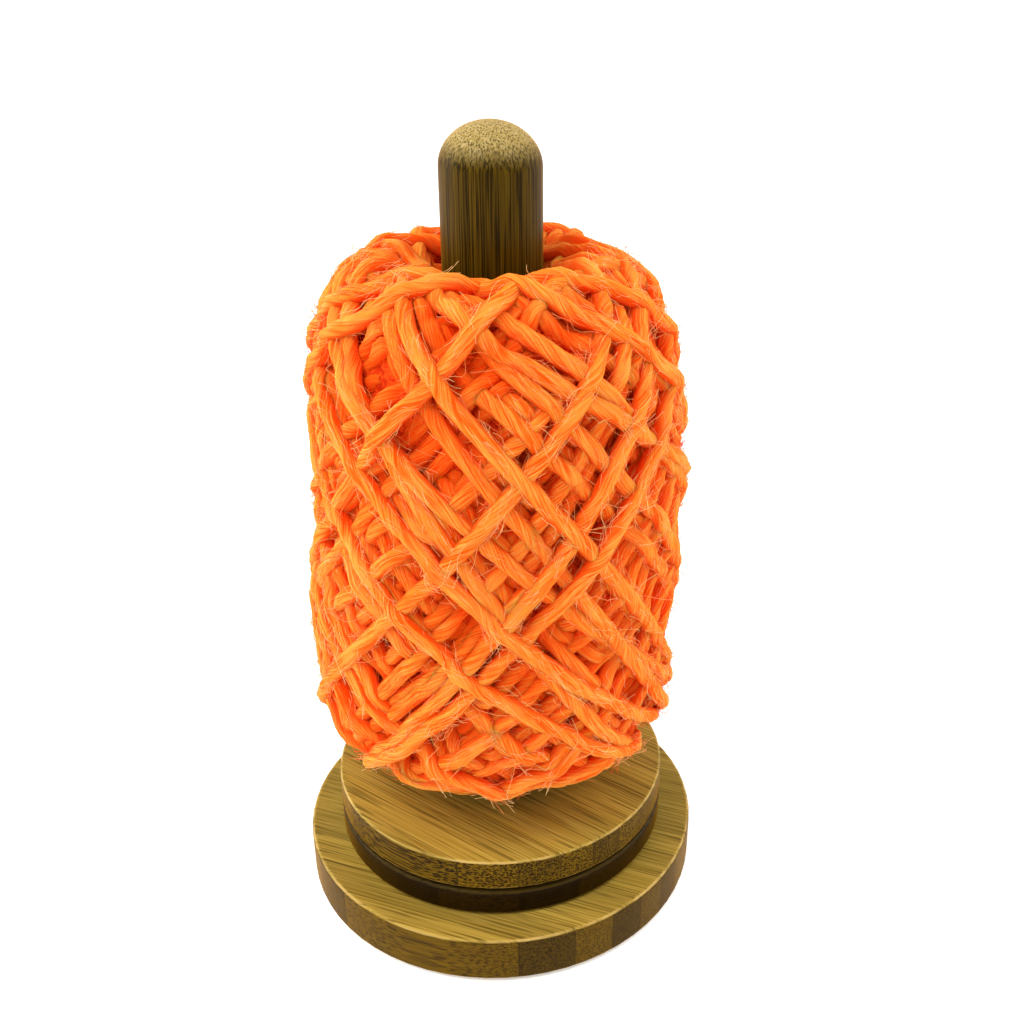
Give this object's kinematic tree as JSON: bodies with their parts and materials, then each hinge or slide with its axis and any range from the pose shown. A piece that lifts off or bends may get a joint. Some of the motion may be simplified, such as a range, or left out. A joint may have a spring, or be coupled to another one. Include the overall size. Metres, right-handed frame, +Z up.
{
  "type": "yarn ball holder",
  "caption": "Free-standing bamboo yarn holder: a platter on a ball bearing turns with a domed spindle, which carries a lift-off ball of cross-wound jute yarn.",
  "frame": {"origin": "on the turning axis, in the plane that the four pads stand on", "axes": "+Z up along the spindle; +X and +Y lie in the plane of the discs, each between two neighbouring pads"},
  "size_m": [0.12, 0.12, 0.2281],
  "materials": {
    "bamboo_disc": "laminated bamboo under clear satin lacquer",
    "bamboo_riser": "laminated bamboo under clear satin lacquer, end grain on its rim",
    "bamboo_dowel": "turned bamboo dowel under clear satin lacquer",
    "pad_rubber": "matt non-slip rubber",
    "bearing_steel": "ground bearing steel",
    "bolt_steel": "zinc-plated steel",
    "brass": "turned brass",
    "nylon": "natural nylon",
    "yarn": "dyed jute yarn, twisted and hairy",
    "yarn_inside": "dyed jute yarn, packed"
  },
  "bodies": {
    "stand": {"base_disc": "bamboo_disc", "riser_disc": "bamboo_riser", "riser_screw_1": "bolt_steel", "riser_screw_2": "bolt_steel", "riser_screw_3": "bolt_steel", "foot_pad_1": "pad_rubber", "foot_pad_2": "pad_rubber", "foot_pad_3": "pad_rubber", "foot_pad_4": "pad_rubber", "bearing_outer_ring": "bearing_steel", "bearing_shield_bottom": "bearing_steel", "bearing_shield_top": "bearing_steel"},
    "turntable": {"platter": "bamboo_disc", "spindle": "bamboo_dowel", "bearing_inner_ring": "bearing_steel", "axle_bolt": "bolt_steel", "axle_washer": "bolt_steel", "axle_spacer": "bolt_steel", "threaded_insert": "brass"},
    "ball_cage": {"bearing_cage": "nylon", "bearing_ball_1": "bearing_steel", "bearing_ball_2": "bearing_steel", "bearing_ball_3": "bearing_steel", "bearing_ball_4": "bearing_steel", "bearing_ball_5": "bearing_steel", "bearing_ball_6": "bearing_steel", "bearing_ball_7": "bearing_steel"},
    "yarn_ball": {"yarn_core": "yarn_inside", "yarn_winding": "yarn"}
  },
  "joints": [
    {"name": "turntable_spin", "type": "hinge", "parent": "stand", "child": "turntable", "pos_m": [0, 0, 0.0258], "axis": [0, 0, 1], "continuous": true},
    {"name": "ball_cage_turn", "type": "hinge", "parent": "stand", "child": "ball_cage", "pos_m": [0, 0, 0.0168], "axis": [0, 0, 1], "continuous": true},
    {"name": "yarn_ball_lift", "type": "slide", "parent": "turntable", "child": "yarn_ball", "axis": [0, 0, 1], "range_m": [0, 0.195]}
  ],
  "couplings": [
    {"joint": "ball_cage_turn", "follows": "turntable_spin", "ratio": 0.368}
  ]
}
